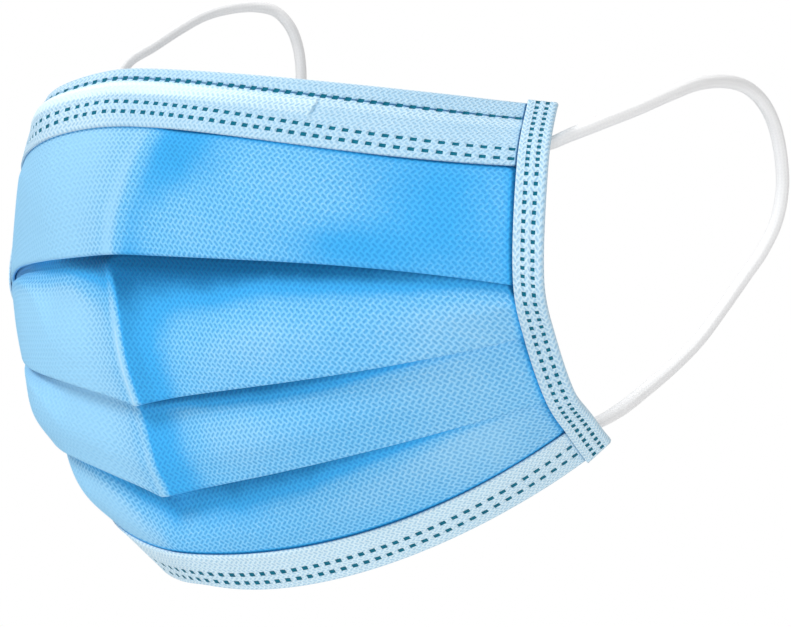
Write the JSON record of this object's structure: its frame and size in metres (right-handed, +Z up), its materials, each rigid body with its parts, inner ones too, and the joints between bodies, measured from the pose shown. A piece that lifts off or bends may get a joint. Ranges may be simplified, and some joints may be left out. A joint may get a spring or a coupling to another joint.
{
  "type": "surgical face mask",
  "caption": "Pleated non-woven face mask, opened to its worn shape, with bound edges, a nose wire in the top binding and an elastic loop at each side for the ears.",
  "frame": {"origin": "middle of the top edge, where the mask sits on the bridge of the nose", "axes": "+Z up the face, +Y back towards the face, +X to the wearer's left along the mask's length"},
  "size_m": [0.1546, 0.1243, 0.1228],
  "materials": {
    "blue_cloth": "matt non-woven with a fine embossed pattern",
    "pale_binding": "matt non-woven tape, welded in rows of short marks",
    "coated_wire": "soft wire in a plastic coat",
    "white_elastic": "soft knitted elastic cord"
  },
  "bodies": {
    "root": {"pleated_body": "blue_cloth", "top_binding": "pale_binding", "bottom_binding": "pale_binding", "side_binding_left": "pale_binding", "side_binding_right": "pale_binding", "nose_wire": "coated_wire", "ear_loop_left": "white_elastic", "ear_loop_right": "white_elastic"}
  },
  "joints": []
}
